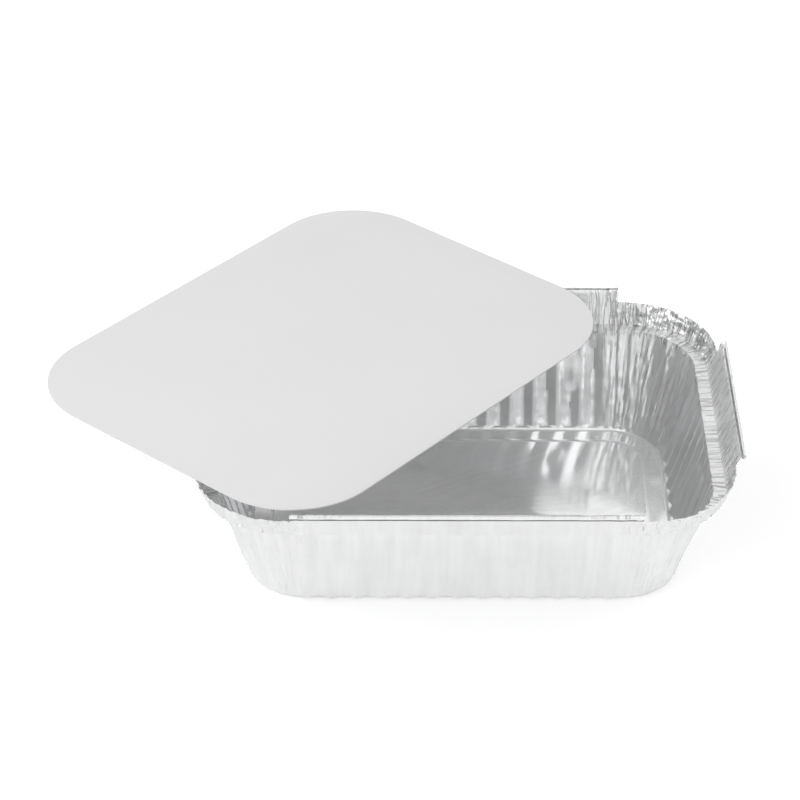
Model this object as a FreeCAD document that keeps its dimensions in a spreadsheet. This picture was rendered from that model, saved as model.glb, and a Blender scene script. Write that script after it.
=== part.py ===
import FreeCAD
import Part
import Sketcher
import math
import os

# A foil food container with its loose card lid, in millimetres, +Z up.
# The tray is one sheet of foil, pressed to a dish with fluted walls, a flat flange and a leaning
# upstand. The upstand ends in a rolled curl on its four straight sides, and in a raw, crimped
# edge at its four corners. The lid is a flat card that lies askew on the curls.
# The origin is the middle of the tray's underside, on the surface that it stands on.

doc = FreeCAD.newDocument("foil_food_container")

SIZES = [
    ("rim_length", 227.0, "between the centre lines of the two end curls"),
    ("rim_width", 173.0, "between the centre lines of the two long curls"),
    ("rim_height", 58.3, "centre line of the curls above the table"),
    ("rim_corner", 43.3, "plan radius of the rim's corners at the curls' centre line"),
    ("foil", 0.3, "thickness of the sheet as modelled"),
    ("curl_diameter", 2.5, "outside diameter of the rolled curls"),
    ("curl_turn", 300.0, "degrees through which a curl is rolled"),
    ("upstand_rise", 13.5, "from the flange to the centre line of the curls"),
    ("upstand_lean", 6.6, "outward lean of the upstand over that rise"),
    ("corner_drop", 4.2, "how far the raw corner edge lies below the curls' centre line"),
    ("crimp_depth", 0.7, "waves of the crimped upstand at the corners"),
    ("crimp_least", 0.4, "shallowest crimp as a share of the deepest"),
    ("crimp_at_foot", 0.4, "share of a crimp's depth at the foot of the upstand"),
    ("crimp_count", 22, "waves of the upstand at each corner"),
    ("flange_width", 5.3, "flat flange between the mouth and the upstand"),
    ("mouth_corner", 30.0, "plan radius of the wall's top corners"),
    ("wall_lean", 12.1, "how far the wall runs inwards from the mouth to its foot"),
    ("foot_corner", 24.5, "plan radius of the wall's bottom corners"),
    ("foot_ledge", 0.4, "narrow flat on which the flutes end"),
    ("base_round", 1.6, "radius of the fold between the wall and the floor"),
    ("floor_border", 6.3, "flat border of the floor, from the fold to the bead"),
    ("bead_width", 1.8, "low bead pressed round the middle of the floor"),
    ("bead_rise", 0.45, "height of that bead"),
    ("flute_depth", 1.7, "depth of the flutes in the straight walls"),
    ("flute_land", 1.2, "width of the flat along each crest and each valley"),
    ("flute_lead", 4.3, "height over which flutes and pleats grow above the wall's foot"),
    ("flute_fade", 7.7, "height over which flutes and pleats fade below the flange"),
    ("flute_at_foot", 0.8, "share of the flutes' depth at the wall's foot"),
    ("flute_at_mouth", 0.35, "share of the flutes' depth at the mouth"),
    ("long_facets", 25, "sloping facets of the flutes in each long wall, two to a flute"),
    ("short_facets", 15, "sloping facets of the flutes in each short wall, two to a flute"),
    ("pleat_depth", 1.0, "deepest of the uneven pleats in the wall's corners"),
    ("pleat_least", 0.35, "shallowest pleat as a share of the deepest"),
    ("pleat_at_foot", 0.35, "share of the pleats' depth at the wall's foot"),
    ("pleat_at_mouth", 0.8, "share of the pleats' depth at the mouth"),
    ("pleat_count", 11, "pleats in each corner of the wall"),
    ("lid_length", 213.0, "card lid, long way"),
    ("lid_width", 164.0, "card lid, short way"),
    ("lid_corner", 38.0, "corner radius of the lid"),
    ("lid_thickness", 0.7, "thickness of the card"),
    ("lid_turn", 49.3, "degrees from the tray's long axis to the lid's"),
    ("lid_shift_x", -58.4, "middle of the lid from the middle of the tray, long way"),
    ("lid_shift_y", 34.6, "middle of the lid from the middle of the tray, short way"),
    ("lid_clearance", 0.02, "air between the lid and the top of the curls"),
]

sheet = doc.addObject("Spreadsheet::Sheet", "sizes")
for row, (name, value, note) in enumerate(SIZES, start=1):
    sheet.set("A%d" % row, name)
    sheet.set("B%d" % row, str(value))
    sheet.set("C%d" % row, note)
    sheet.setAlias("B%d" % row, name)
doc.recompute()


def size(name):
    return float(sheet.get(name))


def count(name):
    return int(round(sheet.get(name)))


# Rings. A ring is a rounded rectangle in plan: half its length, half its width, corner radius.

QUARTER = math.pi / 2
SIDES = range(4)


def inset(ring, distance):
    half_x, half_y, radius = ring
    return (half_x - distance, half_y - distance, radius - distance)


def between(low, high, share):
    return tuple(a + (b - a) * share for a, b in zip(low, high))


def turned(side, outward, along, height):
    """A point given as seen from one side: 0 faces +X, 1 faces +Y, 2 faces -X, 3 faces -Y."""
    angle = side * QUARTER
    x = outward * math.cos(angle) - along * math.sin(angle)
    y = outward * math.sin(angle) + along * math.cos(angle)
    return FreeCAD.Vector(x, y, height)


def reach_and_run(ring, side):
    half_x, half_y, radius = ring
    if side % 2 == 0:
        return half_x, half_y - radius
    return half_y, half_x - radius


def ring_point(ring, station, push, height):
    """A point on a ring, pushed outwards. A station is (side, on the corner, share of the way)."""
    side, on_corner, share = station
    reach, half_run = reach_and_run(ring, side)
    if not on_corner:
        return turned(side, reach + push, half_run * (2 * share - 1), height)
    return arc_point(ring, side, QUARTER * share, push, height)


def arc_point(ring, side, angle, push, height):
    radius = ring[2]
    reach, half_run = reach_and_run(ring, side)
    outward = reach - radius + (radius + push) * math.cos(angle)
    along = half_run + (radius + push) * math.sin(angle)
    return turned(side, outward, along, height)


# Radians that part one pleat from the next, and one corner from the next, in the uneven wave.
PLEAT_STEP = 2.4
CORNER_STEP = 1.3


def uneven(least, most, number, side):
    """A value between least and most, so that neighbouring pleats and the four corners differ."""
    wave = (1 + math.sin(PLEAT_STEP * number + CORNER_STEP * side)) / 2
    return least + (most - least) * wave


# Faces. Each band of the sheet is a row of flat faces between two rings with like stations.

# How far a fourth corner may lie off the plane of the other three in one flat face.
FLATNESS = 1e-8


def closed_polygon(points):
    return Part.makePolygon(points + points[:1])


def patch(first, second, third, fourth):
    """One flat face on four points, or two triangles where they lie in no one plane."""
    normal = (second - first).cross(third - first).normalize()
    if abs(normal.dot(fourth - first)) < FLATNESS:
        return [Part.Face(closed_polygon([first, second, third, fourth]))]
    lower = Part.Face(closed_polygon([first, second, third]))
    upper = Part.Face(closed_polygon([first, third, fourth]))
    return [lower, upper]


def band(low, high):
    faces = []
    for here, point in enumerate(low):
        after = (here + 1) % len(low)
        faces += patch(point, low[after], high[after], high[here])
    return faces


def plain_wire(ring, height):
    """A rounded rectangle of four lines and four arcs."""
    edges = []
    for side in SIDES:
        start = ring_point(ring, (side, False, 0.0), 0, height)
        end = ring_point(ring, (side, False, 1.0), 0, height)
        middle = ring_point(ring, (side, True, 0.5), 0, height)
        corner_end = ring_point(ring, (side, True, 1.0), 0, height)
        edges.append(Part.makeLine(start, end))
        edges.append(Part.Arc(end, middle, corner_end).toShape())
    return Part.Wire(edges)


def flat_face(outline, hole=None):
    wires = [outline, hole] if hole else [outline]
    return Part.makeFace(wires, "Part::FaceMakerBullseye")


def swept_band(ring, spots):
    """The band that a line or an arc sweeps round a plain ring. A spot is (inwards, height)."""
    faces = []
    for side in SIDES:
        reach, half_run = reach_and_run(ring, side)
        ends = [turned(side, reach - inwards, -half_run, height) for inwards, height in spots]
        straight = Part.makeLine(*ends) if len(ends) == 2 else Part.Arc(*ends).toShape()
        run = turned(side, 0, 2 * half_run, 0)
        faces.append(straight.extrude(run))
        centre = turned(side, reach - ring[2], half_run, 0)
        corner = straight.translated(run)
        faces.append(corner.revolve(centre, FreeCAD.Vector(0, 0, 1), math.degrees(QUARTER)))
    return faces


# Foil tray. Two skins a sheet's thickness apart, sewn to one closed solid.


def tray_rings():
    rim = (size("rim_length") / 2, size("rim_width") / 2, size("rim_corner"))
    flange = inset(rim, size("upstand_lean"))
    mouth_inset = size("upstand_lean") + size("flange_width")
    mouth = (rim[0] - mouth_inset, rim[1] - mouth_inset, size("mouth_corner"))
    foot = (mouth[0] - size("wall_lean"), mouth[1] - size("wall_lean"), size("foot_corner"))
    return rim, flange, mouth, foot


# Where the valley and the crest of a pleat lie, as shares of its width. The crest wanders.
VALLEY_PLACE = 0.25
CREST_PLACES = (0.69, 0.81)


def wall_stations(foot):
    """Stations of the wall with their wave: 1 on a crest, 0 in a valley."""
    stations = []
    for side in SIDES:
        facets = count("short_facets") if side % 2 == 0 else count("long_facets")
        facet_width = 2 * reach_and_run(foot, side)[1] / facets
        half_land = size("flute_land") / 2 / facet_width
        for facet in range(facets):
            first = (facet + 1) % 2
            stations.append(((side, False, (facet + half_land) / facets), first))
            stations.append(((side, False, (facet + 1 - half_land) / facets), 1 - first))
        pleats = count("pleat_count")
        for pleat in range(pleats):
            stations.append(((side, True, (pleat + VALLEY_PLACE) / pleats), 0))
            place = uneven(*CREST_PLACES, pleat + 1, side)
            crest = uneven(size("pleat_least"), 1, pleat, side)
            stations.append(((side, True, (pleat + place) / pleats), crest))
    return stations


def wall_point(ring, foot, station, push, height):
    """A point of the wall. The flutes run straight up, so the pleats share out what is left."""
    side, on_corner, share = station
    reach, half_run = reach_and_run(ring, side)
    fluted = reach_and_run(foot, side)[1]
    if not on_corner:
        return turned(side, reach + push, fluted * (2 * share - 1), height)
    left_over = half_run - fluted
    arc_length = QUARTER * ring[2]
    distance = share * (arc_length + 2 * left_over)
    if distance < left_over:
        return turned(side, reach + push, fluted + distance, height)
    past_arc = distance - left_over - arc_length
    if past_arc > 0:
        after = (side + 1) % len(SIDES)
        next_reach, next_run = reach_and_run(ring, after)
        return turned(after, next_reach + push, past_arc - next_run, height)
    return arc_point(ring, side, (distance - left_over) / ring[2], push, height)


def wall_points(stations, ring, foot, flute_share, pleat_share, thickness, height):
    """One ring of the wall. The shares say how much of the full waves this height has."""
    points = []
    for station, wave in stations:
        on_corner = station[1]
        depth = size("pleat_depth") * pleat_share if on_corner else size("flute_depth") * flute_share
        points.append(wall_point(ring, foot, station, wave * depth - thickness, height))
    return points


def wall_levels(wall_height):
    """Share of the wall's height, then the share of the flutes' and of the pleats' depth there."""
    return [
        (0, size("flute_at_foot"), size("pleat_at_foot")),
        (size("flute_lead") / wall_height, 1, (1 + size("pleat_at_foot")) / 2),
        (1 - size("flute_fade") / wall_height, 1, 1),
        (1, size("flute_at_mouth"), size("pleat_at_mouth")),
    ]


def wall_skin(mouth, foot, low, high, thickness):
    stations = wall_stations(foot)
    rows = []
    for share, flutes, pleats in wall_levels(high - low):
        ring = between(foot, mouth, share)
        height = low + (high - low) * share
        rows.append(wall_points(stations, ring, foot, flutes, pleats, thickness, height))
    faces = []
    for lower, upper in zip(rows, rows[1:]):
        faces += band(lower, upper)
    return faces, rows[0], rows[-1]


def curl_section():
    """Where the upstand's outer skin meets the curl, seen along a side from the upstand's foot."""
    inner_radius = size("curl_diameter") / 2 - size("foil")
    lean = size("upstand_lean")
    rise = size("upstand_rise")
    distance = math.hypot(lean, rise)
    slope = math.atan2(rise, lean) + math.asin(inner_radius / distance)
    return slope, inner_radius


def upstand_stations():
    """Stations of the upstand: the ends of each curled strip, then the crimps of the corner."""
    stations = []
    waves = 2 * count("crimp_count")
    for side in SIDES:
        stations.append(((side, False, 0.0), None))
        stations.append(((side, False, 1.0), None))
        for number in range(waves):
            crest = (number % 2) * uneven(size("crimp_least"), 1, number, side)
            stations.append(((side, True, (number + 0.5) / waves), crest))
    return stations


def upstand_foot(stations, flange, height, thickness):
    points = []
    for station, crest in stations:
        push = size("crimp_at_foot") * size("crimp_depth") * (crest or 0)
        points.append(ring_point(flange, station, push - thickness, height))
    return points


def upstand_top(stations, rim, offset):
    """The top of the upstand on one skin, offset square to the sheet: curl starts and raw edge."""
    slope, inner_radius = curl_section()
    raw_height = size("rim_height") - size("corner_drop")
    raw_lean = (raw_height - size("rim_height") + size("upstand_rise")) / math.tan(slope)
    points = []
    for station, crest in stations:
        if crest is None:
            inwards = (inner_radius + offset) * math.sin(slope)
            height = size("rim_height") + (inner_radius + offset) * math.cos(slope)
            points.append(ring_point(rim, station, -inwards, height))
        else:
            wave = size("crimp_depth") * crest
            push = raw_lean - size("upstand_lean") - offset * math.sin(slope) + wave
            height = raw_height + offset * math.cos(slope) + wave / 2
            points.append(ring_point(rim, station, push, height))
    return points


def curl_faces(rim, side):
    """A strip of the sheet rolled outwards over one straight side, with its two open ends."""
    slope, inner_radius = curl_section()
    reach, half_run = reach_and_run(rim, side)
    start_angle = slope + QUARTER
    angles = [start_angle - math.radians(size("curl_turn")) * share for share in (0, 0.5, 1)]
    arcs = []
    for radius in (inner_radius, inner_radius + size("foil")):
        spots = []
        for angle in angles:
            outward = reach + radius * math.cos(angle)
            height = size("rim_height") + radius * math.sin(angle)
            spots.append(turned(side, outward, -half_run, height))
        arcs.append(Part.Arc(*spots).toShape())
    inner, outer = arcs
    run = turned(side, 0, 2 * half_run, 0)
    lip = Part.makeLine(inner.Vertexes[-1].Point, outer.Vertexes[-1].Point)
    root = Part.makeLine(inner.Vertexes[0].Point, outer.Vertexes[0].Point)
    near_end = flat_face(Part.Wire([inner, lip, outer, root]))
    return [inner.extrude(run), outer.extrude(run), lip.extrude(run), near_end,
            near_end.translated(run)]


def raw_edge_faces(stations, outer, inner):
    """The cut edge of the sheet at the corners, between one curled strip and the next."""
    faces = []
    for here, (station, crest) in enumerate(stations):
        after = (here + 1) % len(stations)
        on_strip = crest is None and stations[after][1] is None
        if not on_strip:
            faces += patch(outer[here], outer[after], inner[after], inner[here])
    return faces


def floor_skin(base, thickness):
    """The fold at the foot, the flat border, the low bead and the flat middle of the floor."""
    radius = size("base_round")
    slant = radius * (1 - math.cos(QUARTER / 2))
    fold = [(0, radius), (slant, slant), (radius, 0)]
    border = inset(base, radius)
    bead = inset(border, size("floor_border"))
    middle = inset(bead, size("bead_width"))
    crest = (size("bead_width") / 2, size("bead_rise"))
    rise = [(0, 0), crest]
    fall = [crest, (size("bead_width"), 0)]
    faces = []
    for ring, spots in ((base, fold), (bead, rise), (bead, fall)):
        faces += swept_band(ring, [(inwards, height + thickness) for inwards, height in spots])
    faces.append(flat_face(plain_wire(border, thickness), plain_wire(bead, thickness)))
    faces.append(flat_face(plain_wire(middle, thickness)))
    return faces


def tray_skin(thickness):
    """One skin of the tray: 0 for the underside, the sheet's thickness for the inside."""
    rim, flange, mouth, foot = tray_rings()
    flange_height = size("rim_height") - size("upstand_rise") + thickness
    foot_height = size("base_round") + thickness
    base = inset(foot, size("foot_ledge") + thickness)
    faces = floor_skin(base, thickness)
    wall, foot_row, mouth_row = wall_skin(mouth, foot, foot_height, flange_height, thickness)
    faces.append(flat_face(closed_polygon(foot_row), plain_wire(base, foot_height)))
    faces += wall
    stations = upstand_stations()
    foot_of_upstand = upstand_foot(stations, flange, flange_height, thickness)
    faces.append(flat_face(closed_polygon(foot_of_upstand), closed_polygon(mouth_row)))
    top_of_upstand = upstand_top(stations, rim, thickness)
    faces += band(foot_of_upstand, top_of_upstand)
    return faces, top_of_upstand


# How far apart two edges may lie to be sewn to one.
SEAM = 0.001


def make_tray():
    underside, outer_top = tray_skin(0.0)
    inside, inner_top = tray_skin(size("foil"))
    faces = underside + inside
    faces += raw_edge_faces(upstand_stations(), outer_top, inner_top)
    rim = tray_rings()[0]
    for side in SIDES:
        faces += curl_faces(rim, side)
    skins = Part.Compound(faces)
    skins.sewShape(SEAM)
    solid = Part.makeSolid(skins.Shells[0])
    if solid.Volume < 0:
        solid.reverse()
    tray = doc.addObject("Part::Feature", "tray")
    tray.Label = "tray"
    tray.Shape = solid
    tray.Placement = FreeCAD.Placement()
    return tray


# Card lid. A rounded rectangle of card, flat on the curls and turned askew.


def lid_outline(body):
    sketch = body.newObject("Sketcher::SketchObject", "lid_outline")
    planes = [plane for plane in body.Origin.OriginFeatures if plane.Role == "XY_Plane"]
    sketch.AttachmentSupport = (planes[0], [""])
    sketch.MapMode = "FlatFace"
    half_x = size("lid_length") / 2
    half_y = size("lid_width") / 2
    radius = size("lid_corner")
    corners = [(1, -1), (1, 1), (-1, 1), (-1, -1)]
    for number, (x, y) in enumerate(corners):
        centre = FreeCAD.Vector(x * (half_x - radius), y * (half_y - radius), 0)
        circle = Part.Circle(centre, FreeCAD.Vector(0, 0, 1), radius)
        start = (number - 1) * QUARTER
        sketch.addGeometry(Part.ArcOfCircle(circle, start, start + QUARTER), False)
    for number in range(4):
        here = sketch.Geometry[number]
        after = sketch.Geometry[(number + 1) % 4]
        sketch.addGeometry(Part.LineSegment(here.EndPoint, after.StartPoint), False)
    start_point, end_point, middle_point = 1, 2, 3
    for number in range(4):
        line = number + 4
        after = (number + 1) % 4
        way = "Vertical" if number % 2 == 0 else "Horizontal"
        sketch.addConstraint(Sketcher.Constraint("Tangent", number, end_point, line, start_point))
        sketch.addConstraint(Sketcher.Constraint("Tangent", line, end_point, after, start_point))
        sketch.addConstraint(Sketcher.Constraint(way, line))
    for number in (1, 2, 3):
        sketch.addConstraint(Sketcher.Constraint("Equal", 0, number))
    origin = (-1, 1)
    sketch.addConstraint(Sketcher.Constraint("Symmetric", 0, middle_point, 2, middle_point, *origin))
    bound = [
        ("lid_corner", Sketcher.Constraint("Radius", 0, radius)),
        ("lid_length", Sketcher.Constraint("DistanceX", 6, start_point, 4, start_point, 2 * half_x)),
        ("lid_width", Sketcher.Constraint("DistanceY", 7, start_point, 5, start_point, 2 * half_y)),
    ]
    for name, constraint in bound:
        place = sketch.addConstraint(constraint)
        sketch.renameConstraint(place, name)
        sketch.setExpression("Constraints." + name, "sizes." + name)
    return sketch


def make_lid():
    body = doc.addObject("PartDesign::Body", "lid")
    body.Label = "lid"
    sketch = lid_outline(body)
    card = body.newObject("PartDesign::Pad", "lid_card")
    card.Profile = sketch
    card.setExpression("Length", "sizes.lid_thickness")
    top_of_curls = "sizes.rim_height + sizes.curl_diameter / 2"
    body.setExpression("Placement.Base.x", "sizes.lid_shift_x")
    body.setExpression("Placement.Base.y", "sizes.lid_shift_y")
    body.setExpression("Placement.Base.z", top_of_curls + " + sizes.lid_clearance")
    body.setExpression("Placement.Rotation.Angle", "sizes.lid_turn")
    return body


pieces = [make_tray(), make_lid()]
doc.recompute()

for item in doc.Objects:
    for fault in ("Invalid", "Error"):
        if fault in item.State:
            raise RuntimeError("%s is marked %s" % (item.Label, fault))

for piece in pieces:
    shape = piece.Shape
    if shape.isNull() or not shape.isValid() or len(shape.Solids) != 1:
        raise RuntimeError("%s is not one valid solid" % piece.Label)
    box = shape.BoundBox
    spans = (box.XLength, box.YLength, box.ZLength)
    print("%-6s %.1f x %.1f x %.1f mm, volume %.0f mm3, faces %d"
          % ((piece.Label,) + spans + (shape.Volume, len(shape.Faces))))

os.makedirs("parts", exist_ok=True)
for piece in pieces:
    piece.Shape.exportStep("parts/%s.step" % piece.Label)
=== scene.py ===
# %% [markdown]
# # A foil food container with its card lid
# One sheet of aluminium foil, pressed to a dish, with a loose lid of white board that lies askew on
# its rim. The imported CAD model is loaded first: it fixes every size and place. The pieces made here
# take the places of its two nodes and stay inside its box.

# %% Load the frame
import math

import bmesh
import bpy
from mathutils import Matrix, Vector


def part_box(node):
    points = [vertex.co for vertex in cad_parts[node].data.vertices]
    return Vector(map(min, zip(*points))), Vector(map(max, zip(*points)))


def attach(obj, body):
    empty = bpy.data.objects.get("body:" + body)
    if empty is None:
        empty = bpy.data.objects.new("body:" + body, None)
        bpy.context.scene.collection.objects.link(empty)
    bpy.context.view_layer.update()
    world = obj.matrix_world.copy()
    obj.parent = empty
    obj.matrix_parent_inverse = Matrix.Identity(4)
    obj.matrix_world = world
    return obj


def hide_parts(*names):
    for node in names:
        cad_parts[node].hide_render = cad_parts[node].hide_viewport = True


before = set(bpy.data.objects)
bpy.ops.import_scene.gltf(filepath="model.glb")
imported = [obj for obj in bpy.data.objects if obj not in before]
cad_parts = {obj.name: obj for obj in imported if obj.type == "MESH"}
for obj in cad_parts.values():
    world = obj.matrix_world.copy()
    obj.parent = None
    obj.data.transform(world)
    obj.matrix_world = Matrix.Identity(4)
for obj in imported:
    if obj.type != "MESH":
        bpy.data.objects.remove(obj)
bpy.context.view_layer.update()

MM = 0.001
QUARTER = math.pi / 2

# %% [markdown]
# ## Helpers for modelling by hand
# Blender's operators act on whatever is selected, so each step starts from nothing selected. These
# short helpers clear the selection, open a piece for editing and pick edges or faces by a rule.

# %% Helpers for selecting


def put_down():
    """Leave edit mode with nothing selected."""
    if bpy.context.mode != "OBJECT":
        bpy.ops.object.mode_set(mode="OBJECT")
    bpy.ops.object.select_all(action="DESELECT")


def take_up(piece):
    """Make one piece the only selected and active one."""
    put_down()
    piece.select_set(True)
    bpy.context.view_layer.objects.active = piece


def open_piece(piece, kind="FACE"):
    take_up(piece)
    bpy.ops.object.mode_set(mode="EDIT")
    bpy.ops.mesh.select_mode(type=kind)
    bpy.ops.mesh.select_all(action="DESELECT")


def pick(piece, rule, kind):
    """In edit mode, select just the verts, edges or faces that a rule says yes to."""
    bpy.ops.mesh.select_mode(type=kind)
    bpy.ops.mesh.select_all(action="DESELECT")
    mesh = bmesh.from_edit_mesh(piece.data)
    chosen = {"VERT": mesh.verts, "EDGE": mesh.edges, "FACE": mesh.faces}[kind]
    picked = 0
    for element in chosen:
        if rule(element):
            element.select_set(True)
            picked += 1
    mesh.select_flush_mode()
    bmesh.update_edit_mesh(piece.data)
    return picked


def apply_modifier(piece, modifier):
    take_up(piece)
    bpy.ops.object.modifier_apply(modifier=modifier.name)


def triangles(piece):
    return sum(len(face.vertices) - 2 for face in piece.data.polygons)


# %% [markdown]
# ## The two rounded plates that the dish starts from
# A foil dish is stamped from flat sheet, so it is modelled from flat plates. A plane gets its four
# corners rounded with a vertex bevel, and the straight sides are divided where the flutes will be
# folded. One plate has the outline of the rim and one has the outline of the floor. Both get the
# same number of points, so that the wall can be bridged between them later, column by column.

# %% Sizes of the tray
RIM_LENGTH, RIM_WIDTH = 227.0 * MM, 173.0 * MM
CURL_HEIGHT = 58.3 * MM
CURL_RADIUS = 1.04 * MM
CURL_TURN = math.radians(295)
FLANGE_HEIGHT = 44.8 * MM
RIM_CORNER = 42.0 * MM
UPSTAND_LEAN = 6.6 * MM
FLANGE_WIDTH = 5.3 * MM
WALL_LEAN = 12.1 * MM
FOOT_CORNER = 24.5 * MM
BASE_ROUND = 1.6 * MM
FLOOR_LEVEL = 0.05 * MM
FOOT_HEIGHT = FLOOR_LEVEL + BASE_ROUND
FLOOR_BORDER, BEAD_WIDTH, BEAD_RISE = 6.3 * MM, 1.8 * MM, 0.15 * MM
LONG_FACETS, SHORT_FACETS = 25, 15
CORNER_FACETS = 24
SLACK_FACETS = 3

# Half the length and half the width at the mouth, at the foot, and of the fluted stretches.
BOTH = Vector((1, 1))
MOUTH_HALF = Vector((RIM_LENGTH / 2, RIM_WIDTH / 2)) - BOTH * (UPSTAND_LEAN + FLANGE_WIDTH)
MOUTH_RADIUS = RIM_CORNER - UPSTAND_LEAN - FLANGE_WIDTH
FOOT_HALF = MOUTH_HALF - BOTH * WALL_LEAN
FLUTED = FOOT_HALF - BOTH * FOOT_CORNER

# The upstand runs straight from its foot to where it touches the inside of the curl.
rise = CURL_HEIGHT - FLANGE_HEIGHT
slope = math.atan2(rise, UPSTAND_LEAN) + math.asin(CURL_RADIUS / math.hypot(rise, UPSTAND_LEAN))
CURL_START = Vector((-CURL_RADIUS * math.sin(slope), CURL_RADIUS * math.cos(slope)))
UPSTAND_OUT = UPSTAND_LEAN + CURL_START.x
UPSTAND_UP = rise + CURL_START.y
print("upstand slope %.1f degrees" % math.degrees(slope))

# %% The plates


def rounded_plate(name, length, width, radius, height, corner_cuts):
    bpy.ops.mesh.primitive_plane_add(size=1, location=(0, 0, height))
    plate = bpy.context.object
    plate.name = plate.data.name = name
    plate.scale = (length, width, 1)
    bpy.ops.object.transform_apply(location=True, rotation=True, scale=True)
    bpy.ops.object.mode_set(mode="EDIT")
    bpy.ops.mesh.select_all(action="SELECT")
    bpy.ops.mesh.bevel(offset=radius, segments=corner_cuts, affect="VERTICES", profile=0.5)
    return plate


def divide_outline(plate, low, high, cuts):
    """Divide the outline's edges whose length lies between two values."""
    picked = pick(plate, lambda e: e.is_boundary and low < e.calc_length() < high, "EDGE")
    bpy.ops.mesh.subdivide(number_cuts=cuts)
    print(plate.name, picked, "sides divided")


def heal(plate):
    """Make the plate one face again, which keeps the points on its outline."""
    bpy.ops.mesh.select_mode(type="FACE")
    bpy.ops.mesh.select_all(action="SELECT")
    bpy.ops.mesh.dissolve_faces()
    bpy.ops.mesh.select_all(action="SELECT")


# The short ends of the rim's sides, between the flutes and the corners, are between these lengths.
SLACK_LENGTHS = 5.8 * MM, 8 * MM

put_down()
dish = rounded_plate(
    "foil_dish",
    RIM_LENGTH + 2 * CURL_START.x,
    RIM_WIDTH + 2 * CURL_START.x,
    RIM_CORNER + CURL_START.x,
    CURL_HEIGHT + CURL_START.y,
    CORNER_FACETS - 2 * SLACK_FACETS,
)
for way in (-1, 1):
    for across in (Vector((way, 0, 0)), Vector((0, way, 0))):
        bpy.ops.mesh.select_all(action="SELECT")
        reach = FLUTED.x if across.x else FLUTED.y
        bpy.ops.mesh.bisect(plane_co=across * reach, plane_no=across)
divide_outline(dish, 2 * FLUTED.x - MM, 2 * FLUTED.x + MM, LONG_FACETS - 1)
divide_outline(dish, 2 * FLUTED.y - MM, 2 * FLUTED.y + MM, SHORT_FACETS - 1)
divide_outline(dish, *SLACK_LENGTHS, SLACK_FACETS - 1)
heal(dish)
bpy.ops.object.mode_set(mode="OBJECT")
bottom = rounded_plate(
    "foil_floor", 2 * FOOT_HALF.x, 2 * FOOT_HALF.y, FOOT_CORNER, FOOT_HEIGHT, CORNER_FACETS
)
divide_outline(bottom, 2 * FLUTED.x - MM, 2 * FLUTED.x + MM, LONG_FACETS - 1)
divide_outline(bottom, 2 * FLUTED.y - MM, 2 * FLUTED.y + MM, SHORT_FACETS - 1)
heal(bottom)
print("points", len(bmesh.from_edit_mesh(bottom.data).verts), "and", len(dish.data.vertices))

# %% [markdown]
# ## Press the dish
# Insetting the rim plate and pushing the new face down gives the leaning upstand and the flat
# flange. On the floor plate, small insets make the tight fold at the foot of the wall, the flat
# border of the floor and the low bead round its middle. Then the wall is bridged between the two.

# %% Press the dish


def sink(inwards, down):
    """Inset the selected face and push it down."""
    bpy.ops.mesh.inset(thickness=max(inwards, 1e-6), depth=-down, use_even_offset=False)


FOLD_STEPS = 5
for step in range(FOLD_STEPS):
    here = QUARTER * step / FOLD_STEPS
    after = QUARTER * (step + 1) / FOLD_STEPS
    inwards = BASE_ROUND * (math.cos(here) - math.cos(after))
    down = BASE_ROUND * (math.sin(after) - math.sin(here))
    sink(inwards, down)
sink(FLOOR_BORDER, 0)
BEAD_STEPS = 6
PANEL_EDGE = 0.4 * MM
for step in range(BEAD_STEPS):
    here, after = (0.5 - 0.5 * math.cos(math.tau * (step + more) / BEAD_STEPS) for more in (0, 1))
    sink(BEAD_WIDTH / BEAD_STEPS, BEAD_RISE * (here - after))
# One more narrow ring keeps the wide floor flat in its shading.
sink(PANEL_EDGE, 0)

open_piece(dish)
bpy.ops.mesh.select_all(action="SELECT")
sink(UPSTAND_OUT, UPSTAND_UP)
sink(FLANGE_WIDTH, 0)
bpy.ops.mesh.delete(type="ONLY_FACE")
take_up(dish)
bottom.select_set(True)
bpy.ops.object.join()

# %% Bridge the wall
HAIR = 0.01 * MM


def on_open_ring(edge):
    height = edge.verts[0].co.z
    inner = abs(height - FLANGE_HEIGHT) < HAIR or abs(height - FOOT_HEIGHT) < HAIR
    return edge.is_boundary and inner


open_piece(dish, "EDGE")
print("ring edges", pick(dish, on_open_ring, "EDGE"))
bpy.ops.mesh.bridge_edge_loops()
put_down()
print("dish pressed,", len(dish.data.polygons), "faces")

# %% [markdown]
# ## A map of the sheet
# Flutes, pleats and creases all follow the sheet: some run along the rim, some run up the wall. So
# every point gets two measures: how far round the rim it lies, and how far up the sheet. The flutes
# run straight up, so a point's place along the side is its place along the rim. In a corner, its
# place is the angle about the centre of the foot's corner.

# %% Measure a point of the sheet
CORNER_RUN = QUARTER * MOUTH_RADIUS + 2 * (MOUTH_HALF.x - MOUTH_RADIUS - FLUTED.x)
QUARTER_RUN = FLUTED.x + CORNER_RUN + FLUTED.y
WALL_HEIGHT = FLANGE_HEIGHT - FOOT_HEIGHT


def wall_share(height):
    """0 at the foot of the wall and 1 at its mouth."""
    return min(max((height - FOOT_HEIGHT) / WALL_HEIGHT, 0), 1)


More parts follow.
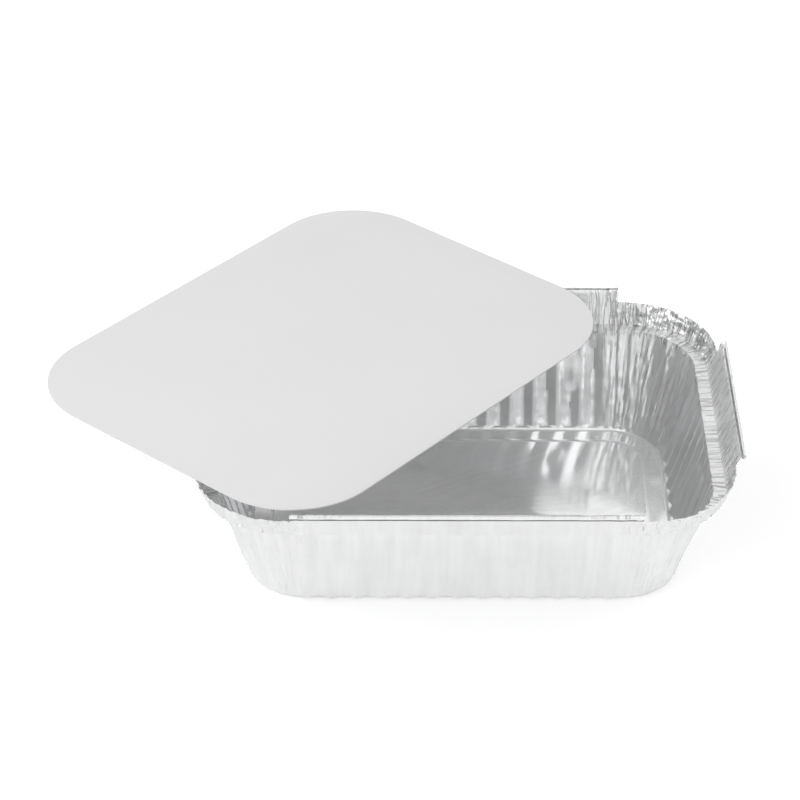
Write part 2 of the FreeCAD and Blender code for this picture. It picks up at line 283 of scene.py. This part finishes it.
def sheet_place(point):
    """How far round the rim, how far up the sheet, and how far round a corner, from 0 to 1."""
    share = wall_share(point.z)
    half = FOOT_HALF.lerp(MOUTH_HALF, share)
    radius = FOOT_CORNER + (MOUTH_RADIUS - FOOT_CORNER) * share
    past_x = abs(point.x) - half.x + radius
    past_y = abs(point.y) - half.y + radius
    rounded = past_x > 0 and past_y > 0
    out = (math.hypot(past_x, past_y) if rounded else max(past_x, past_y)) - radius
    over_x, over_y = abs(point.x) - FLUTED.x, abs(point.y) - FLUTED.y
    turned_share = 0
    if over_x > HAIR and over_y > HAIR:
        turned_share = math.atan2(over_y, over_x) / QUARTER
        run = FLUTED.y + turned_share * CORNER_RUN
    elif past_x > past_y:
        run = abs(point.y)
    else:
        run = QUARTER_RUN - abs(point.x)
    if point.x > 0:
        run = 2 * QUARTER_RUN - run
    if point.y < 0:
        run = 4 * QUARTER_RUN - run
    return run, point.z + out, turned_share


def is_column(edge):
    """True for an edge that runs up the sheet, false for one that runs round it."""
    low, high = (sheet_place(vert.co) for vert in edge.verts)
    turn = abs(low[0] - high[0])
    turn = min(turn, 4 * QUARTER_RUN - turn)
    return turn < abs(low[1] - high[1])


# %% [markdown]
# ## Push the sheet out of shape
# Every fold here is made the same way: each point gets a weight from 0 to 1, as with a weight
# brush, and a Displace modifier moves it along its normal by that share of a depth. With a texture
# the push varies from place to place, so the same helper makes even flutes and uneven crumples.

# %% The push


def push(piece, name, depth, weight, texture=None, uv=None, middle=0.5):
    """Move points along their normals by depth times weight(vertex), times the texture's value."""
    group = piece.vertex_groups.new(name=name)
    for vert in piece.data.vertices:
        amount = weight(vert.co)
        if amount > 0:
            group.add([vert.index], min(amount, 1), "REPLACE")
    take_up(piece)
    modifier = piece.modifiers.new(name, "DISPLACE")
    modifier.vertex_group = name
    modifier.strength = depth
    modifier.mid_level = 0
    if texture:
        modifier.texture = texture
        modifier.mid_level = middle
        modifier.texture_coords = "UV" if uv else "LOCAL"
        if uv:
            modifier.uv_layer = uv
    apply_modifier(piece, modifier)
    piece.vertex_groups.remove(piece.vertex_groups[name])


def texture_of(name, kind, grain, depth=2):
    texture = bpy.data.textures.new(name, kind)
    texture.noise_scale = grain
    if kind == "CLOUDS":
        texture.noise_depth = depth
    return texture


# %% [markdown]
# ## Flutes and pleats
# The straight walls are folded to a zigzag: every second column is pushed outwards. The folds are
# deepest through the middle of the wall and fade under the flange. In the corners the sheet has
# too much length, so it gathers in uneven pleats.

# %% Fold the flutes
FLUTE_DEPTH = 1.8 * MM
WALL_ROWS = 10
FLUTES_AT_FOOT, FLUTES_AT_MOUTH = 0.75, 0.3
FLUTE_LEAD, FLUTE_FADE = 0.12, 0.16
PLEAT_SHARE, LEAST_PLEAT = 0.5, 0.2
PLEATS_AT_FOOT, PLEATS_AT_MOUTH = 0.4, 0.9
RHYTHM, RHYTHM_START = 2.4, 0.9


def uneven(least, number):
    """A share from least to 1, so that neighbouring folds differ."""
    return least + (1 - least) * (0.5 + 0.5 * math.sin(RHYTHM * number + RHYTHM_START))


def rise_and_fade(share, at_foot, at_mouth):
    if share < FLUTE_LEAD:
        return at_foot + (1 - at_foot) * share / FLUTE_LEAD
    if share > 1 - FLUTE_FADE:
        return at_mouth + (1 - at_mouth) * (1 - share) / FLUTE_FADE
    return 1


def fold_weight(point):
    """How far a column of the coarse wall is folded outwards."""
    run, up, turned_share = sheet_place(point)
    if not FOOT_HEIGHT - HAIR < point.z < FLANGE_HEIGHT + HAIR or abs(up - point.z) > HAIR:
        return 0
    share = wall_share(point.z)
    if turned_share == 0:
        on_long = abs(point.y) > FLUTED.y + HAIR
        along = point.x / FLUTED.x if on_long else point.y / FLUTED.y
        station = round((along + 1) / 2 * (LONG_FACETS if on_long else SHORT_FACETS))
        return 0 if station % 2 else rise_and_fade(share, FLUTES_AT_FOOT, FLUTES_AT_MOUTH)
    if round(turned_share * CORNER_FACETS) % 2:
        return 0
    depth = PLEAT_SHARE * uneven(LEAST_PLEAT, run / MM)
    return depth * rise_and_fade(share, PLEATS_AT_FOOT, PLEATS_AT_MOUTH)


open_piece(dish, "EDGE")
pick(dish, lambda e: abs(e.verts[0].co.z - e.verts[1].co.z) > 30 * MM, "EDGE")
bpy.ops.mesh.subdivide(number_cuts=WALL_ROWS - 1)
put_down()
push(dish, "flutes", -FLUTE_DEPTH, fold_weight)
print("wall folded,", len(dish.data.polygons), "faces")

# %% [markdown]
# ## Divide the sheet finely
# The folds are made on a coarse sheet, so their sides are flat, as in pressed foil. Now the sheet
# is divided into cells of about a millimetre, fine enough to crumple. Edges that run round the rim
# and edges that run up the sheet are divided apart, so each gets the number of cuts it needs.

# %% Divide
SIDE_CUTS = 3
WALL_CUTS = 4
FLANGE_CUTS = 7
UPSTAND_CUTS = 22


def middle_of(edge):
    """The middle of an edge: how far up the sheet, and its height."""
    middle = (edge.verts[0].co + edge.verts[1].co) / 2
    return sheet_place(middle)[1], middle.z


def cut_band(name, rule, cuts):
    """Divide the column edges of one band of the sheet."""
    picked = pick(dish, lambda e: rule(*middle_of(e)) and is_column(e), "EDGE")
    bpy.ops.mesh.subdivide(number_cuts=cuts)
    print(name, picked, "columns")


open_piece(dish, "EDGE")
pick(dish, lambda e: not is_column(e), "EDGE")
bpy.ops.mesh.subdivide(number_cuts=SIDE_CUTS)
cut_band("upstand", lambda up, z: z > FLANGE_HEIGHT + MM, UPSTAND_CUTS)
cut_band("flange", lambda up, z: abs(z - FLANGE_HEIGHT) < MM < up - FLANGE_HEIGHT, FLANGE_CUTS)
cut_band("wall", lambda up, z: FOOT_HEIGHT + MM < z < FLANGE_HEIGHT - MM, WALL_CUTS)
put_down()
print("sheet divided,", len(dish.data.polygons), "faces")

# %% [markdown]
# ## Trim the corners and roll the curls
# Only the four straight strips of the upstand are rolled to a curl. Between them the sheet is left
# as it was cut, a little lower. So the corner cells above the cut are deleted, and each strip's top
# edge is spun round the line of its curl, which rolls it outwards.

# %% Trim and roll
STRIP_ENDS = (70.2 * MM, 43.2 * MM)
CUT_HEIGHT = 54.1 * MM
CURL_STEPS = 12


def on_strip(point):
    return abs(point.x) < STRIP_ENDS[0] or abs(point.y) < STRIP_ENDS[1]


open_piece(dish)
trimmed = pick(
    dish,
    lambda f: f.calc_center_median().z > CUT_HEIGHT and not on_strip(f.calc_center_median()),
    "FACE",
)
bpy.ops.mesh.delete(type="FACE")
print("corner cells trimmed", trimmed)

STRIP_TOP = CURL_HEIGHT + CURL_START.y
for outwards, axis in (
    (Vector((0, -1, 0)), (1, 0, 0)),
    (Vector((1, 0, 0)), (0, 1, 0)),
    (Vector((0, 1, 0)), (-1, 0, 0)),
    (Vector((-1, 0, 0)), (0, -1, 0)),
):
    reach = RIM_LENGTH / 2 if outwards.x else RIM_WIDTH / 2
    centre = outwards * reach + Vector((0, 0, CURL_HEIGHT))

    def along_top(edge):
        tops = [v.co for v in edge.verts]
        near = all(abs(top.dot(outwards) - reach) < 2 * CURL_RADIUS for top in tops)
        return near and all(abs(top.z - STRIP_TOP) < HAIR for top in tops)

    picked = pick(dish, along_top, "EDGE")
    bpy.ops.mesh.spin(steps=CURL_STEPS, angle=CURL_TURN, center=centre, axis=axis)
    print("strip rolled,", picked, "edges")
put_down()

# %% [markdown]
# ## Crumple the sheet
# Foil takes a crease wherever it is pressed into a corner. The wall's corners get long soft pleats,
# so their texture is drawn on a map of the sheet that is stretched up the wall. The rim's corners
# are crackled: a Voronoi texture gives small flat cells with sharp ridges between them.

# %% Maps of the sheet


def draw_map(piece, name, across, up_the_sheet):
    """A UV map in which one unit is so many metres round the rim and up the sheet."""
    layer = piece.data.uv_layers.new(name=name)
    places = [sheet_place(vert.co) for vert in piece.data.vertices]
    for loop in piece.data.loops:
        run, up = places[loop.vertex_index][:2]
        layer.data[loop.index].uv = (run / across, up / up_the_sheet)


def near_corner(point, reach):
    """1 in a corner, and fading to 0 along the straight side over a reach."""
    before_x = MOUTH_HALF.x - MOUTH_RADIUS - abs(point.x)
    before_y = MOUTH_HALF.y - MOUTH_RADIUS - abs(point.y)
    return max(0, 1 - max(before_x, before_y, 0) / reach)


draw_map(dish, "pleats", 7 * MM, 60 * MM)
draw_map(dish, "crimps", 5 * MM, 55 * MM)

# %% Crumple
HEIGHT_OF = {"wall": (FOOT_HEIGHT, FLANGE_HEIGHT), "rim": (FLANGE_HEIGHT - 2 * MM, 1)}


def band_weight(band, reach):
    low, high = HEIGHT_OF[band]

    def weight(point):
        if not low < point.z < high:
            return 0
        ease = min(1, (point.z - low) / (3 * MM))
        return ease * near_corner(point, reach)
    return weight


push(dish, "soft_pleats", 1.6 * MM, band_weight("wall", 9 * MM),
     texture_of("soft_pleats", "CLOUDS", 0.8, 1), uv="pleats")
push(dish, "small_pleats", 0.7 * MM, band_weight("wall", 14 * MM),
     texture_of("small_pleats", "CLOUDS", 0.35, 1), uv="pleats")
push(dish, "crimps", 1.1 * MM, band_weight("rim", 5 * MM),
     texture_of("crimps", "CLOUDS", 0.6, 1), uv="crimps")
push(dish, "crackle", 0.7 * MM, band_weight("rim", 12 * MM),
     texture_of("crackle", "VORONOI", 2.4 * MM))
push(dish, "dents", 0.25 * MM, lambda p: 1 if p.z > FOOT_HEIGHT else 0,
     texture_of("dents", "CLOUDS", 6 * MM, 1))

# One knock, where the flutes of the far wall end.
KNOCK, KNOCK_HALF_WIDTH, KNOCK_HALF_HEIGHT = Vector((50 * MM, 27 * MM)), 3.4 * MM, 11 * MM


def knocked(point):
    if point.y < FLUTED.y or abs(point.z - KNOCK.y) > KNOCK_HALF_HEIGHT:
        return 0
    across, up = (point.x - KNOCK.x) / KNOCK_HALF_WIDTH, (point.z - KNOCK.y) / KNOCK_HALF_HEIGHT
    return max(0, 1 - across * across - up * up)


push(dish, "knock", 1.2 * MM, knocked)
print("crumpled")

# %% [markdown]
# ## Where the sheet is creased
# The finest creases are too small for the mesh, so the material makes them. It has to know where:
# each point keeps a value, 1 where the rim turns its corners, a little less along the short sides
# of the rim, and least along the long sides and up the walls.

# %% Creased places
WALL_CREASES, END_CREASES, SIDE_CREASES = 0.3, 0.75, 0.15
CREASED_REACH = 30 * MM


def how_creased(point):
    on_rim = point.z > FLANGE_HEIGHT - 2 * MM
    most = 1 if on_rim else WALL_CREASES * wall_share(point.z)
    at_side = END_CREASES if abs(point.x) > MOUTH_HALF.x - MM else SIDE_CREASES
    return max(most * near_corner(point, CREASED_REACH), at_side * on_rim)


# The same value also sets how deep the painted shade in the creases is.
creased = dish.data.attributes.new("creased", "FLOAT", "POINT")
for vert in dish.data.vertices:
    creased.data[vert.index].value = how_creased(vert.co)
print("creased places kept for", len(dish.data.vertices), "points")

# %% [markdown]
# ## Give the sheet its thickness
# The sheet is split in two pieces along the middle of the flat flange, where nothing shows, so that
# each stays light enough to export whole. Solidify then gives both the thickness of the foil.

# %% Split and thicken
FOIL = 0.22 * MM
SHARP_FOLD = math.radians(40)


def finish_foil(piece):
    take_up(piece)
    solid = piece.modifiers.new("foil", "SOLIDIFY")
    solid.thickness = FOIL
    solid.offset = 1
    apply_modifier(piece, solid)
    bpy.ops.object.shade_smooth_by_angle(angle=SHARP_FOLD)


open_piece(dish)
pick(dish, lambda f: sheet_place(f.calc_center_median())[1] > FLANGE_HEIGHT + FLANGE_WIDTH / 2
     and f.calc_center_median().z > FLANGE_HEIGHT - MM, "FACE")
bpy.ops.mesh.separate(type="SELECTED")
rim = [piece for piece in bpy.context.selected_objects if piece != dish][0]
rim.name = rim.data.name = "foil_rim"
for piece in (dish, rim):
    finish_foil(piece)
    print(piece.name, triangles(piece), "triangles")

# %% [markdown]
# ## The card lid
# The lid is a sheet of board, cut with round corners. It starts from the same kind of plate, gets
# the thickness of the board, and its cut edges are eased a little, as a press leaves them.

# %% Lid
LID_LENGTH, LID_WIDTH, LID_CORNER = 212.95 * MM, 163.95 * MM, 38 * MM
LID_THICKNESS = 0.7 * MM
LID_TURN = math.radians(49.3)
LID_PLACE = (-58.4 * MM, 34.6 * MM)
EASE = 0.12 * MM
CUT_EDGE = math.radians(30)
LID_CORNER_STEPS = 32

lid_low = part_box("lid")[0]
put_down()
lid = rounded_plate("card_lid", LID_LENGTH, LID_WIDTH, LID_CORNER, 0, LID_CORNER_STEPS)
bpy.ops.mesh.select_mode(type="FACE")
bpy.ops.mesh.select_all(action="SELECT")
bpy.ops.mesh.extrude_region_move(TRANSFORM_OT_translate={"value": (0, 0, LID_THICKNESS)})
bpy.ops.mesh.select_all(action="SELECT")
bpy.ops.mesh.normals_make_consistent(inside=False)
pick(lid, lambda e: len(e.link_faces) == 2 and e.calc_face_angle() > 1, "EDGE")
bpy.ops.mesh.bevel(offset=EASE, segments=2)
put_down()
take_up(lid)
lid.rotation_euler.z = LID_TURN
lid.location = (*LID_PLACE, lid_low.z)
bpy.ops.object.transform_apply(location=True, rotation=True, scale=True)
bpy.ops.object.shade_smooth_by_angle(angle=CUT_EDGE)
print("lid", triangles(lid), "triangles")

# %% [markdown]
# ## Helpers for materials
# A material is a small net of nodes. These helpers each add one kind of node, set its values and
# return its output, so that the cells below read as sums.

# %% Helpers for materials


def new_material(name):
    material = bpy.data.materials.new(name)
    material.use_nodes = True
    nodes = material.node_tree.nodes
    return material, nodes, material.node_tree.links, nodes["Principled BSDF"]


def noise(nodes, links, vector, scale, detail=2, rough=0.5):
    node = nodes.new("ShaderNodeTexNoise")
    node.inputs["Scale"].default_value = scale
    node.inputs["Detail"].default_value = detail
    node.inputs["Roughness"].default_value = rough
    links.new(vector, node.inputs["Vector"])
    return node.outputs["Fac"]


def spread(nodes, links, value, low, high):
    node = nodes.new("ShaderNodeMapRange")
    node.inputs["To Min"].default_value = low
    node.inputs["To Max"].default_value = high
    links.new(value, node.inputs["Value"])
    return node.outputs["Result"]


def sum_up(nodes, links, operation, *values):
    """One math node on values that are sockets or plain numbers."""
    node = nodes.new("ShaderNodeMath")
    node.operation = operation
    for socket, value in zip(node.inputs, values):
        if isinstance(value, (int, float)):
            socket.default_value = value
        else:
            links.new(value, socket)
    return node.outputs["Value"]


def bump_of(nodes, links, height, strength, distance, normal=None):
    node = nodes.new("ShaderNodeBump")
    node.inputs["Distance"].default_value = distance
    if isinstance(strength, (int, float)):
        node.inputs["Strength"].default_value = strength
    else:
        links.new(strength, node.inputs["Strength"])
    links.new(height, node.inputs["Height"])
    if normal:
        links.new(normal, node.inputs["Normal"])
    return node.outputs["Normal"]


def blend(nodes, links, factor, first, second):
    """A colour that drifts between two."""
    node = nodes.new("ShaderNodeMix")
    node.data_type = "RGBA"
    node.inputs["A"].default_value = (*first, 1)
    node.inputs["B"].default_value = (*second, 1)
    links.new(factor, node.inputs["Factor"])
    return node.outputs["Result"]


# %% [markdown]
# ## Aluminium foil
# Foil is a metal mirror under a slight haze: part of the light bounces off sharply and part is
# scattered, so two metallic shaders will be mixed. The floor of the real dish isn't quite flat. It
# is too little to measure, but it bends the reflections, so a bump is added to the floor alone.

# %% Foil: tint and sagging floor
DULL_FOIL, BRIGHT_FOIL = (0.85, 0.853, 0.857), (0.92, 0.922, 0.925)
TINT_GRAIN, DENT_GRAIN = 90, 420
JUST_ABOVE_FLOOR = 0.3 * MM

foil, nodes, links, sharp = new_material("aluminium_foil")
hazy = nodes.new("ShaderNodeBsdfPrincipled")
place = nodes.new("ShaderNodeTexCoord").outputs["Object"]
tint = blend(nodes, links, noise(nodes, links, place, TINT_GRAIN), DULL_FOIL, BRIGHT_FOIL)

split = nodes.new("ShaderNodeSeparateXYZ")
links.new(place, split.inputs["Vector"])
x, y, z = (split.outputs[axis] for axis in "XYZ")
low_down = sum_up(nodes, links, "LESS_THAN", z, JUST_ABOVE_FLOOR)
PANEL = FOOT_HALF - BOTH * BASE_ROUND
in_x = sum_up(nodes, links, "COMPARE", x, 0.0, PANEL.x)
in_y = sum_up(nodes, links, "COMPARE", y, 0.0, PANEL.y)
on_panel = sum_up(nodes, links, "MULTIPLY", low_down, sum_up(nodes, links, "MULTIPLY", in_x, in_y))

# The floor rises to the back and sinks to the front, more so at the left, and tilts a bit.
SAG, SAG_REACH, SAG_TILT, SAG_FADE = 3.4 * MM, 46 * MM, -0.08, -8.0
from_middle = sum_up(nodes, links, "DIVIDE", y, SAG_REACH)
how_far = sum_up(nodes, links, "ABSOLUTE", from_middle)
rise_back = sum_up(nodes, links, "MULTIPLY", from_middle, how_far)
fading = sum_up(nodes, links, "MULTIPLY_ADD", x, SAG_FADE, 1.0)
rise_back = sum_up(nodes, links, "MULTIPLY", rise_back, fading)
tilt = sum_up(nodes, links, "MULTIPLY", x, SAG_TILT)
sag = sum_up(nodes, links, "MULTIPLY_ADD", rise_back, SAG, tilt)
bent = bump_of(nodes, links, sag, on_panel, 1.0)

# Tiny dents lie everywhere, but the floor panel has hardly any.
DENT_DEPTH, DENTS_ON_WALL, DENTS_ON_PANEL = 0.15 * MM, 0.2, 0.04
dents = noise(nodes, links, place, DENT_GRAIN, 3, 0.6)
dent_strength = spread(nodes, links, on_panel, DENTS_ON_WALL, DENTS_ON_PANEL)
surface = bump_of(nodes, links, dents, dent_strength, DENT_DEPTH, bent)

# %% [markdown]
# ## Creases in the foil
# Creases are narrow grooves along the lines where a noise crosses its middle value. On the map of
# the sheet they are drawn out up the sheet, and on the plain place they form a network. The value
# that each point keeps says how deep they are there.

# %% Foil: creases
creased_here = nodes.new("ShaderNodeAttribute")
creased_here.attribute_name = "creased"
map_of_sheet = nodes.new("ShaderNodeUVMap")
map_of_sheet.uv_map = "crimps"
GROOVE = 0.06


def grooves(vector, scale, detail=1):
    """0 along thin wandering lines, and 1 to either side of them."""
    off_middle = sum_up(nodes, links, "SUBTRACT", noise(nodes, links, vector, scale, detail), 0.5)
    node = nodes.new("ShaderNodeMapRange")
    node.interpolation_type = "SMOOTHSTEP"
    node.inputs["From Max"].default_value = GROOVE
    links.new(sum_up(nodes, links, "ABSOLUTE", off_middle), node.inputs["Value"])
    return node.outputs["Result"]


across = map_of_sheet.outputs["UV"]
NETWORK_GRAIN, LONG_GRAIN, FINE_GRAIN = 260, 2.0, 5.0
network = grooves(place, NETWORK_GRAIN)
long_lines, fine_lines = grooves(across, LONG_GRAIN), grooves(across, FINE_GRAIN)
NETWORK_SHARE, LONG_SHARE, FINE_SHARE = 0.4, 1.3, 0.7
creases = sum_up(nodes, links, "MULTIPLY_ADD", network, NETWORK_SHARE, sum_up(
    nodes, links, "MULTIPLY", long_lines, LONG_SHARE))
creases = sum_up(nodes, links, "MULTIPLY_ADD", fine_lines, FINE_SHARE, creases)
CREASE_DEPTH = 0.14 * MM
surface = bump_of(nodes, links, creases, creased_here.outputs["Fac"], CREASE_DEPTH, surface)

# %% [markdown]
# ## Painted shade in the creases
# The foil's colour is darkened where shade would fall: painted shade deep in a crease on the inside,
# and a painted dark band close under a rolled curl on the outside. Faint streaks of tone run up the
# sheet.

# %% Foil: painted shade
# Painted shade: these shares darken the colour in the creases and under the curls.
PAINTED_CREASE_SHADE, PAINTED_CURL_SHADE = 0.42, 0.8
crease_shade_mask = sum_up(nodes, links, "SUBTRACT", 1.0, long_lines)
crease_shade_mask = sum_up(nodes, links, "MULTIPLY", crease_shade_mask, creased_here.outputs["Fac"])
facing = nodes.new("ShaderNodeSeparateXYZ")
links.new(nodes.new("ShaderNodeNewGeometry").outputs["True Normal"], facing.inputs["Vector"])
FACING_DOWN = -0.1
outside = sum_up(nodes, links, "LESS_THAN", facing.outputs["Z"], FACING_DOWN)
inside = sum_up(nodes, links, "SUBTRACT", 1.0, outside)
crease_shade_mask = sum_up(nodes, links, "MULTIPLY", crease_shade_mask, inside)
# A painted dark band just under each curl, on the outside, stands for the shade there.
CURL_SHADE_MIDDLE, CURL_SHADE_HALF = CURL_HEIGHT - 2.3 * MM, 1.4 * MM
curl_shade_mask = sum_up(nodes, links, "COMPARE", z, CURL_SHADE_MIDDLE, CURL_SHADE_HALF)
curl_shade_mask = sum_up(nodes, links, "MULTIPLY", outside, curl_shade_mask)
shade_and_streaks = sum_up(nodes, links, "MULTIPLY_ADD", crease_shade_mask, -PAINTED_CREASE_SHADE, 1.0)
shade_and_streaks = sum_up(nodes, links, "MULTIPLY", shade_and_streaks, sum_up(
    nodes, links, "MULTIPLY_ADD", curl_shade_mask, -PAINTED_CURL_SHADE, 1.0))
STREAK_GRAIN, FAINTEST, BRIGHTEST = 1.3, 0.90, 1.06
streaks = spread(nodes, links, noise(nodes, links, across, STREAK_GRAIN), FAINTEST, BRIGHTEST)
shade_and_streaks = sum_up(nodes, links, "MULTIPLY", shade_and_streaks, streaks)
# The foil's colour, darkened by the painted shade and varied by the streaks of tone.
painted_shade_tint = nodes.new("ShaderNodeVectorMath")
painted_shade_tint.operation = "SCALE"
links.new(tint, painted_shade_tint.inputs[0])
links.new(shade_and_streaks, painted_shade_tint.inputs["Scale"])

# %% [markdown]
# ## Mirror and haze together
# The sharp and the hazy shader share colour and surface, and differ in roughness alone. The walls
# scatter more than the floor panel, which is smooth and mirrors more clearly.

# %% Foil: mirror and haze
HAZE_ON_WALL, HAZE_ON_PANEL = 0.4, 0.12

for shader, grain, low, high in ((sharp, 160, 0.05, 0.13), (hazy, 120, 0.4, 0.55)):
    roughness = spread(nodes, links, noise(nodes, links, place, grain, 3), low, high)
    shader.inputs["Metallic"].default_value = 1
    links.new(painted_shade_tint.outputs["Vector"], shader.inputs["Base Color"])
    links.new(roughness, shader.inputs["Roughness"])
    links.new(surface, shader.inputs["Normal"])
mixed = nodes.new("ShaderNodeMixShader")
links.new(spread(nodes, links, on_panel, HAZE_ON_WALL, HAZE_ON_PANEL), mixed.inputs["Fac"])
links.new(sharp.outputs["BSDF"], mixed.inputs[1])
links.new(hazy.outputs["BSDF"], mixed.inputs[2])
links.new(mixed.outputs["Shader"], nodes["Material Output"].inputs["Surface"])
for piece in (dish, rim):
    piece.data.materials.clear()
    piece.data.materials.append(foil)
print("foil material,", len(nodes), "nodes")

# %% [markdown]
# ## White board
# The lid is plain coated board: matt, very slightly uneven in tone, with a faint grain. Its
# underside, which shows only in the foil, gets a faint painted glow for light that comes through the
# board, so it isn't dark.

# %% Board material
DULL_BOARD, BRIGHT_BOARD = (0.69, 0.69, 0.69), (0.73, 0.73, 0.73)
CLOUD_GRAIN, FIBRE_GRAIN, FIBRE_STRENGTH, FIBRE_DEPTH = 14, 900, 0.12, 0.05 * MM

board, nodes, links, shader = new_material("white_board")
place = nodes.new("ShaderNodeTexCoord").outputs["Object"]
clouds = noise(nodes, links, place, CLOUD_GRAIN, 4)
links.new(blend(nodes, links, clouds, DULL_BOARD, BRIGHT_BOARD), shader.inputs["Base Color"])
shader.inputs["Roughness"].default_value = 0.6
fibres = noise(nodes, links, place, FIBRE_GRAIN, 3, 0.6)
fibre_relief = bump_of(nodes, links, fibres, FIBRE_STRENGTH, FIBRE_DEPTH)
links.new(fibre_relief, shader.inputs["Normal"])
facing = nodes.new("ShaderNodeSeparateXYZ")
links.new(nodes.new("ShaderNodeNewGeometry").outputs["Normal"], facing.inputs["Vector"])
# Painted light: the underside glows a little, though nothing there is a lamp.
UNDERSIDE_GLOW = 0.17
UNDERSIDE = -0.5
below = sum_up(nodes, links, "LESS_THAN", facing.outputs["Z"], UNDERSIDE)
painted_underside_glow = sum_up(nodes, links, "MULTIPLY", below, UNDERSIDE_GLOW)
links.new(painted_underside_glow, shader.inputs["Emission Strength"])
shader.inputs["Emission Color"].default_value = (1, 1, 1, 1)
lid.data.materials.clear()
lid.data.materials.append(board)
print("board material,", len(nodes), "nodes")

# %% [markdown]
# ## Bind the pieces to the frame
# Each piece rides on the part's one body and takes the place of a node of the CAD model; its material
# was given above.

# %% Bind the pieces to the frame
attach(dish, "root")
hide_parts("tray")
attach(rim, "root")
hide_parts("tray")
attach(lid, "root")
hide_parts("lid")

# %% [markdown]
# ## Stage and camera
# A pale floor runs far back, so that foil and card stand on white. The camera is placed from the
# angles measured on the photograph.

# %% Stage
FLOOR_DROP, FLOOR_SIZE = 0.05 * MM, 12
put_down()
bpy.ops.mesh.primitive_plane_add(size=FLOOR_SIZE, location=(0, 0, -FLOOR_DROP))
floor = bpy.context.object
floor.name = floor.data.name = "pale_floor"
bpy.ops.object.transform_apply(location=True, rotation=True, scale=True)
paper, nodes, links, shader = new_material("white_paper")
shader.inputs["Roughness"].default_value = 0.9
shader.inputs["Specular IOR Level"].default_value = 0.0
shader.inputs["Base Color"].default_value = (0.82, 0.82, 0.82, 1)
glow = nodes.new("ShaderNodeEmission")
rays = nodes.new("ShaderNodeLightPath")

# The ground glows a little where the camera or the foil sees it, so that it renders as white paper.
SEEN_DIRECTLY, SEEN_IN_FOIL = 0.29, 0.22
level = sum_up(nodes, links, "MULTIPLY", rays.outputs["Is Camera Ray"], SEEN_DIRECTLY)
level = sum_up(nodes, links, "MULTIPLY_ADD", rays.outputs["Is Glossy Ray"], SEEN_IN_FOIL, level)
links.new(level, glow.inputs["Strength"])
both = nodes.new("ShaderNodeAddShader")
links.new(shader.outputs["BSDF"], both.inputs[0])
links.new(glow.outputs["Emission"], both.inputs[1])
links.new(both.outputs["Shader"], nodes["Material Output"].inputs["Surface"])
floor.data.materials.append(paper)

# %% Camera
ELEVATION, YAW, ROLL = (math.radians(a) for a in (33.34, -0.41, 0.36))
TARGET = Vector((-26.26, -2.13, 58.3)) * MM
DISTANCE = 1318.7 * MM
FOCAL_PIXELS = 3156.4
FRAME_PIXELS = 800
SENSOR = 36

back = Vector((
    math.sin(YAW) * math.cos(ELEVATION), -math.cos(YAW) * math.cos(ELEVATION), math.sin(ELEVATION)
))
right = Vector((math.cos(YAW), math.sin(YAW), 0))
turn = Matrix.Rotation(ROLL, 3, back)
right = turn @ right
upwards = back.cross(right)
camera_data = bpy.data.cameras.new("camera")
camera_data.sensor_width = SENSOR
camera_data.lens = FOCAL_PIXELS * SENSOR / FRAME_PIXELS
camera = bpy.data.objects.new("camera", camera_data)
bpy.context.collection.objects.link(camera)
turned = Matrix((right, upwards, back)).transposed().to_4x4()
camera.matrix_world = Matrix.Translation(TARGET + back * DISTANCE) @ turned
bpy.context.scene.camera = camera
print("camera at", camera.matrix_world.translation)

# %% [markdown]
# ## Light
# The object stands in a white studio. An even sky lights everything a little, and soft round
# patches stand for the lamps and their white screens. Each patch is placed by the height and the
# turn of its middle, in degrees: 0 is at the right, 90 at the back, 180 at the left and 270 at the
# front.

# %% Light
world = bpy.data.worlds.new("studio")
bpy.context.scene.world = world
world.use_nodes = True
nodes = world.node_tree.nodes
links = world.node_tree.links
way = nodes.new("ShaderNodeTexCoord").outputs["Generated"]
PATCH_CORE, PATCH_EDGE = 6, 32


def patch_of_light(height, turn, level):
    """A soft round patch in the sky, full within its core and faded out at its edge."""
    rise, round_about = math.radians(height), math.radians(turn)
    towards = (math.cos(round_about) * math.cos(rise), math.sin(round_about) * math.cos(rise),
               math.sin(rise))
    dot = nodes.new("ShaderNodeVectorMath")
    dot.operation = "DOT_PRODUCT"
    dot.inputs[1].default_value = towards
    links.new(way, dot.inputs[0])
    fade = nodes.new("ShaderNodeMapRange")
    fade.interpolation_type = "SMOOTHSTEP"
    fade.inputs["From Min"].default_value = math.cos(math.radians(PATCH_EDGE))
    fade.inputs["From Max"].default_value = math.cos(math.radians(PATCH_CORE))
    fade.inputs["To Max"].default_value = level
    links.new(dot.outputs["Value"], fade.inputs["Value"])
    return fade.outputs["Result"]


SKY = 0.5
PATCHES = (
    (8, 180, 0.58),
    (8, 270, 0.5),
    (28, 45, 0.34),
    (28, 90, 0.45),
    (28, 135, 0.32),
    (28, 165, 0.85),
    (28, 195, 1.11),
    (28, 225, 0.83),
    (28, 315, 0.11),
    (50, 0, 0.81),
    (50, 45, 0.64),
    (50, 270, 0.43),
    (50, 315, 0.38),
)
brightness = SKY
for patch in PATCHES:
    brightness = sum_up(nodes, links, "ADD", brightness, patch_of_light(*patch))
links.new(brightness, nodes["Background"].inputs["Strength"])
nodes["Background"].inputs["Color"].default_value = (1, 1, 1, 1)
print(len(PATCHES), "patches of light")

# %% Finish
scene = bpy.context.scene
scene.view_settings.view_transform = "Standard"
put_down()
